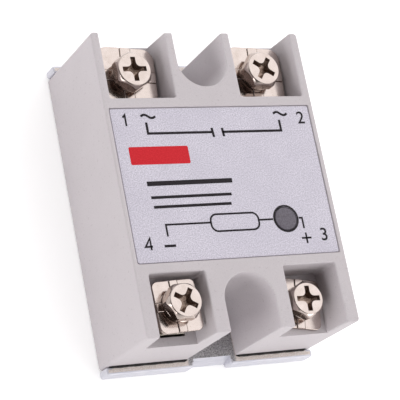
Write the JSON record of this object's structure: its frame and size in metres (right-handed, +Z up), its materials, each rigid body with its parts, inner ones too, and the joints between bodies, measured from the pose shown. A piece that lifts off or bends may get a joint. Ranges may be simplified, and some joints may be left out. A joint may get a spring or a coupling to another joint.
{
  "type": "solid state relay",
  "caption": "Flat panel-mount solid state relay: grey housing on an aluminium base plate, silver label with an LED window, screw clamp terminals in open bays.",
  "frame": {"origin": "centre of the underside of the base plate", "axes": "+X across the relay towards terminals 2 and 3, +Y along it towards the output terminals 1 and 2, +Z up out of the label"},
  "size_m": [0.0446, 0.0624, 0.0236],
  "materials": {
    "base_aluminium": "satin, milled ends",
    "housing_plastic": "fine moulded texture",
    "label_foil": "silver foil with a fine speckle",
    "window_smoke": "smoked, translucent",
    "led_lens": "clear-tinted",
    "terminal_brass": "bright",
    "nickel_plate": "nickel plated, bright",
    "board": "solder resist",
    "black_epoxy": "moulded",
    "resistor_coat": "dipped coating",
    "capacitor_coat": "dipped box",
    "ceramic": "ground",
    "copper": "tinned copper",
    "silicon": "passivated chip",
    "potting": "cast"
  },
  "bodies": {
    "relay": {"base_plate": "base_aluminium", "housing": "housing_plastic", "joint_seal": "potting", "front_label": "label_foil", "led_window": "window_smoke", "indicator_led": "led_lens", "terminal_1": "terminal_brass", "terminal_2": "terminal_brass", "terminal_3": "terminal_brass", "terminal_4": "terminal_brass", "circuit_board": "board", "optocoupler": "black_epoxy", "input_resistors": "resistor_coat", "transistor": "black_epoxy", "diode": "black_epoxy", "snubber_capacitor": "capacitor_coat", "snubber_resistor": "resistor_coat", "gate_resistor": "resistor_coat", "ceramic_insulator": "ceramic", "copper_pads": "copper", "power_chip": "silicon", "bridge_strap": "copper", "gate_lead": "copper", "potting_compound": "potting"},
    "clamp_1": {"clamp_plate_1": "nickel_plate", "lock_washer_1": "nickel_plate"},
    "terminal_screw_1": {"screw_1": "nickel_plate"},
    "clamp_2": {"clamp_plate_2": "nickel_plate", "lock_washer_2": "nickel_plate"},
    "terminal_screw_2": {"screw_2": "nickel_plate"},
    "clamp_3": {"clamp_plate_3": "nickel_plate", "lock_washer_3": "nickel_plate"},
    "terminal_screw_3": {"screw_3": "nickel_plate"},
    "clamp_4": {"clamp_plate_4": "nickel_plate", "lock_washer_4": "nickel_plate"},
    "terminal_screw_4": {"screw_4": "nickel_plate"}
  },
  "joints": [
    {"name": "clamp_1_lift", "type": "slide", "parent": "relay", "child": "clamp_1", "axis": [0, 0, 1], "range_m": [-0.0015, 0.0027]},
    {"name": "screw_1_turn", "type": "hinge", "parent": "clamp_1", "child": "terminal_screw_1", "pos_m": [-0.0138, 0.0227, 0.0155], "axis": [0, 0, 1], "range_deg": [-900, 1620]},
    {"name": "clamp_2_lift", "type": "slide", "parent": "relay", "child": "clamp_2", "axis": [0, 0, 1], "range_m": [-0.0018, 0.0024]},
    {"name": "screw_2_turn", "type": "hinge", "parent": "clamp_2", "child": "terminal_screw_2", "pos_m": [0.01385, 0.0226, 0.0155], "axis": [0, 0, 1], "range_deg": [-1080, 1440]},
    {"name": "clamp_3_lift", "type": "slide", "parent": "relay", "child": "clamp_3", "axis": [0, 0, 1], "range_m": [0, 0.0042]},
    {"name": "screw_3_turn", "type": "hinge", "parent": "clamp_3", "child": "terminal_screw_3", "pos_m": [0.0139, -0.0237, 0.0155], "axis": [0, 0, 1], "range_deg": [0, 2520]},
    {"name": "clamp_4_lift", "type": "slide", "parent": "relay", "child": "clamp_4", "axis": [0, 0, 1], "range_m": [-0.0037, 0.0005]},
    {"name": "screw_4_turn", "type": "hinge", "parent": "clamp_4", "child": "terminal_screw_4", "pos_m": [-0.0136, -0.0233, 0.0155], "axis": [0, 0, 1], "range_deg": [-2220, 300]}
  ],
  "couplings": [
    {"joint": "screw_1_turn", "follows": "clamp_1_lift", "rad_per_m": 10472},
    {"joint": "screw_2_turn", "follows": "clamp_2_lift", "rad_per_m": 10472},
    {"joint": "screw_3_turn", "follows": "clamp_3_lift", "rad_per_m": 10472},
    {"joint": "screw_4_turn", "follows": "clamp_4_lift", "rad_per_m": 10472}
  ]
}
